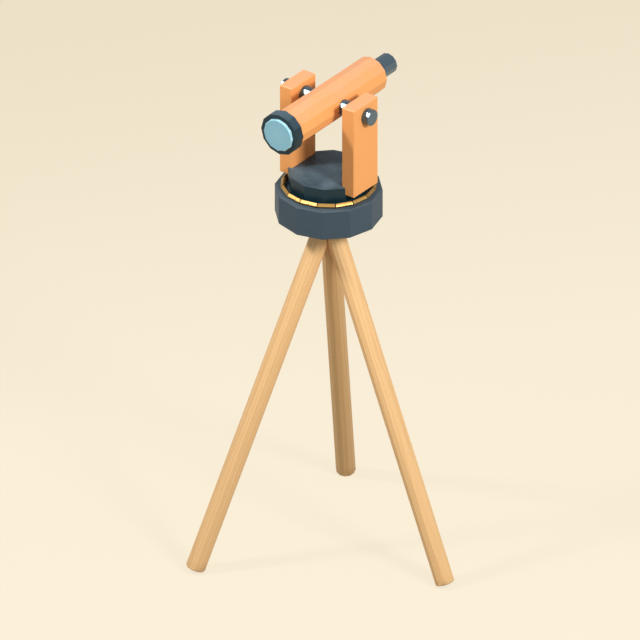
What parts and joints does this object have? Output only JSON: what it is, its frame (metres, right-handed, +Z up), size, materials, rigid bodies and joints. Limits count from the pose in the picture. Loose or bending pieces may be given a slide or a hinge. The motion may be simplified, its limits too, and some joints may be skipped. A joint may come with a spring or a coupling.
{
  "type": "theodolite on a three-legged stand",
  "caption": "Plain surveying theodolite: a tilting telescope between two upright standards on a turning disc and round drum, carried by a wooden stand with folding legs.",
  "frame": {"origin": "the point on the ground straight under the vertical axis, where the plumb line falls", "axes": "+Z up along the vertical axis, X along the trunnion axis that the telescope tilts on, telescope along Y with its eyepiece towards +Y and its objective towards -Y"},
  "size_m": [0.6504, 0.7424, 1.4535],
  "materials": {
    "oiled_wood": "oiled",
    "slate_paint": "satin",
    "dark_enamel": "gloss",
    "orange_enamel": "satin",
    "brass": "polished",
    "bronze": "satin",
    "dark_steel": "blackened and polished",
    "bright_steel": "satin",
    "light_alloy": "anodised",
    "optical_glass": "polished"
  },
  "bodies": {
    "base": {"stand_head": "slate_paint", "head_bolts": "bright_steel", "drum_shell": "slate_paint", "drum_floor": "slate_paint", "floor_screws": "bright_steel", "limb_ring": "brass", "axis_bush": "bronze", "thrust_ring": "bronze"},
    "right_leg": {"leg_right": "oiled_wood", "hinge_pin_right": "bright_steel", "pin_plugs_right": "oiled_wood"},
    "rear_leg": {"leg_rear": "oiled_wood", "hinge_pin_rear": "bright_steel", "pin_plugs_rear": "oiled_wood"},
    "left_leg": {"leg_left": "oiled_wood", "hinge_pin_left": "bright_steel", "pin_plugs_left": "oiled_wood"},
    "alidade": {"turret_disc": "dark_enamel", "spindle": "bright_steel", "spindle_screws": "bright_steel", "spring_washer": "bright_steel", "spindle_nut": "bright_steel", "standard_left": "orange_enamel", "standard_right": "orange_enamel", "standard_bolts": "bright_steel", "trunnion_bush_left": "bronze", "trunnion_bush_right": "bronze"},
    "telescope": {"telescope_tube": "orange_enamel", "objective_collar": "dark_enamel", "objective_lens": "optical_glass", "inner_lens": "optical_glass", "lens_ring": "dark_steel", "trunnion_left": "dark_steel", "trunnion_right": "dark_steel", "rear_cap": "orange_enamel", "reticle": "dark_steel"},
    "focusing_slide": {"focus_slide": "light_alloy", "focus_lens": "optical_glass", "focus_rack": "brass"},
    "focusing_knob": {"focus_knob": "dark_steel", "pinion_shaft": "bright_steel"},
    "tilt_clamp": {"clamp_knob": "dark_steel", "clamp_stud": "bright_steel"},
    "eyepiece": {"eyepiece_barrel": "dark_steel", "field_lens": "optical_glass", "eye_lens": "optical_glass"}
  },
  "joints": [
    {"name": "azimuth", "type": "hinge", "parent": "base", "child": "alidade", "pos_m": [0, 0, 1.127], "axis": [0, 0, 1], "continuous": true},
    {"name": "telescope_tilt", "type": "hinge", "parent": "alidade", "child": "telescope", "pos_m": [0, 0, 1.391], "axis": [1, 0, 0], "range_deg": [-48, 48]},
    {"name": "focus_turn", "type": "hinge", "parent": "telescope", "child": "focusing_knob", "pos_m": [0, 0, 1.391], "axis": [1, 0, 0], "range_deg": [-100, 100]},
    {"name": "focus_travel", "type": "slide", "parent": "telescope", "child": "focusing_slide", "axis": [0, 1, 0], "range_m": [-0.0136, 0.0136]},
    {"name": "clamp_turn", "type": "hinge", "parent": "telescope", "child": "tilt_clamp", "pos_m": [0, 0, 1.391], "axis": [1, 0, 0], "range_deg": [-90, 0]},
    {"name": "eyepiece_draw", "type": "slide", "parent": "telescope", "child": "eyepiece", "axis": [0, 1, 0], "range_m": [0, 0.012]},
    {"name": "right_leg_fold", "type": "hinge", "parent": "base", "child": "right_leg", "pos_m": [0.03302, 0, 0.95569], "axis": [0, 1, 0], "range_deg": [0, 21]},
    {"name": "rear_leg_fold", "type": "hinge", "parent": "base", "child": "rear_leg", "pos_m": [-0.01651, 0.0286, 0.95569], "axis": [-0.866, -0.5, 0], "range_deg": [0, 21]},
    {"name": "left_leg_fold", "type": "hinge", "parent": "base", "child": "left_leg", "pos_m": [-0.01651, -0.0286, 0.95569], "axis": [0.866, -0.5, 0], "range_deg": [0, 21]}
  ],
  "couplings": [
    {"joint": "focus_turn", "follows": "focus_travel", "rad_per_m": -125}
  ]
}
